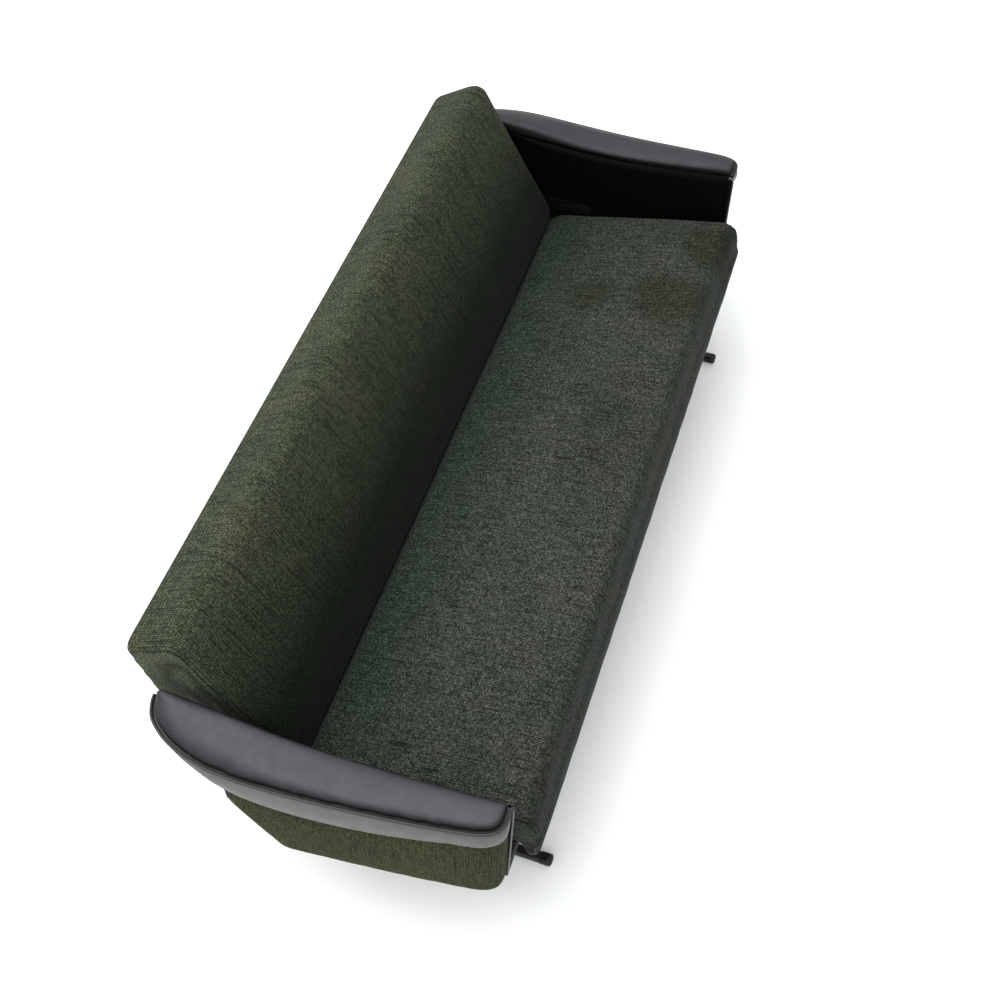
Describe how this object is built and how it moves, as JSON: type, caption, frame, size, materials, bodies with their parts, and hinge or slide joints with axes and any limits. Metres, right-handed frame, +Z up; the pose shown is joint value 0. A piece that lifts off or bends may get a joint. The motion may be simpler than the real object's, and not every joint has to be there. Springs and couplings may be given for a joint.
{
  "type": "futon sofa bed",
  "caption": "Click-clack sofa bed: a seat and a back panel that fold out level between two padded arms, on a low steel trestle base.",
  "frame": {"origin": "on the floor under the middle of the whole sofa", "axes": "+X along the sofa to the sitter's left, +Y to the rear, +Z up; the seat faces -Y"},
  "size_m": [2.1032, 0.8723, 0.7185],
  "materials": {
    "weave_green": "matte",
    "weave_olive": "matte",
    "leatherette": "satin",
    "leatherette_black": "satin",
    "piping": "satin",
    "trim": "satin",
    "beech": "matte",
    "black_steel": "satin",
    "zinc_steel": "satin",
    "webbing": "matte",
    "dust_cloth": "matte",
    "black_rubber": "matte"
  },
  "bodies": {
    "base": {"arm_band_left": "leatherette", "arm_band_right": "leatherette", "arm_bracket_front_left": "black_steel", "arm_bracket_front_right": "black_steel", "arm_bracket_rear_left": "black_steel", "arm_bracket_rear_right": "black_steel", "arm_core_left": "beech", "arm_core_right": "beech", "arm_front_trim_left": "trim", "arm_front_trim_right": "trim", "arm_inner_lining_left": "leatherette_black", "arm_inner_lining_right": "leatherette_black", "arm_outer_panel_left": "weave_olive", "arm_outer_panel_right": "weave_olive", "arm_pad_left": "leatherette", "arm_pad_right": "leatherette", "arm_piping_left": "piping", "arm_piping_right": "piping", "floor_runner_left": "black_steel", "floor_runner_right": "black_steel", "front_cross_tube": "black_steel", "front_leg_left": "black_steel", "front_leg_right": "black_steel", "front_rail": "weave_green", "guide_plate_left": "black_steel", "guide_plate_right": "black_steel", "rail_hinge_leaf_left": "zinc_steel", "rail_hinge_leaf_right": "zinc_steel", "rear_cross_tube": "black_steel", "rear_leg_left": "black_steel", "rear_leg_right": "black_steel", "seat_hinge_pin_left": "zinc_steel", "seat_hinge_pin_right": "zinc_steel", "trestle_stay_left": "black_steel", "trestle_stay_right": "black_steel"},
    "seat": {"seat_cushion": "weave_green", "seat_frame_front": "beech", "seat_frame_rear": "beech", "seat_frame_left": "beech", "seat_frame_right": "beech", "seat_webbing": "webbing", "seat_dust_cover": "dust_cloth", "seat_stop_strip": "black_rubber", "seat_hinge_leaf_left": "zinc_steel", "seat_hinge_leaf_right": "zinc_steel", "seat_hinge_plate_left": "black_steel", "seat_hinge_plate_right": "black_steel", "back_hinge_rivet_left": "zinc_steel", "back_hinge_rivet_right": "zinc_steel"},
    "back": {"back_cushion": "weave_green", "back_frame_bottom": "beech", "back_frame_top": "beech", "back_frame_left": "beech", "back_frame_right": "beech", "back_webbing": "webbing", "back_rear_cover": "weave_green", "back_hinge_plate_left": "black_steel", "back_hinge_plate_right": "black_steel", "back_guide_pin_left": "zinc_steel", "back_guide_pin_right": "zinc_steel"}
  },
  "joints": [
    {"name": "seat_tilt", "type": "hinge", "parent": "base", "child": "seat", "pos_m": [0, -0.3607, 0.3155], "axis": [1, 0, 0], "range_deg": [0, 13.5]},
    {"name": "back_recline", "type": "hinge", "parent": "seat", "child": "back", "pos_m": [0, 0.10882, 0.28999], "axis": [-1, 0, 0], "range_deg": [0, 74.9]}
  ],
  "couplings": [
    {"joint": "seat_tilt", "follows": "back_recline", "ratio": 0.18024}
  ]
}
